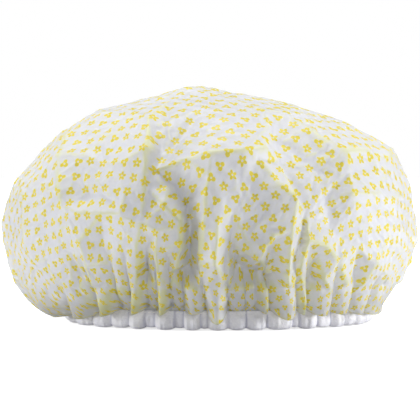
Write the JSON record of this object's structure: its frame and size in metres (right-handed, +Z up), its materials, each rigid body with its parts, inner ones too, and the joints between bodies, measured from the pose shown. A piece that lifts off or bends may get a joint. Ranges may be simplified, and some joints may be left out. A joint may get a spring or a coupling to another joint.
{
  "type": "shower cap",
  "caption": "Lined shower cap: a printed translucent film dome over a soft terry lining, gathered round its rim into a folded terry tape with an elastic inside.",
  "frame": {"origin": "middle of the cap's box, on the surface that the rim stands on", "axes": "+Z up from the rim to the crown, +X to the right seen from the front, which is the wider way, -Y towards the viewer of the front"},
  "size_m": [0.2968, 0.2602, 0.1709],
  "materials": {
    "printed_film": "soft translucent film with a small yellow print",
    "terry_lining": "white looped pile",
    "rim_binding": "white terry tape, gathered",
    "rubber_elastic": "woven rubber elastic",
    "sewing_thread": "spun polyester thread"
  },
  "bodies": {
    "root": {"printed_film": "printed_film", "terry_lining": "terry_lining", "rim_binding": "rim_binding", "elastic_loop": "rubber_elastic", "elastic_tack_thread": "sewing_thread", "outer_seam_thread": "sewing_thread", "inner_seam_thread": "sewing_thread"}
  },
  "joints": []
}
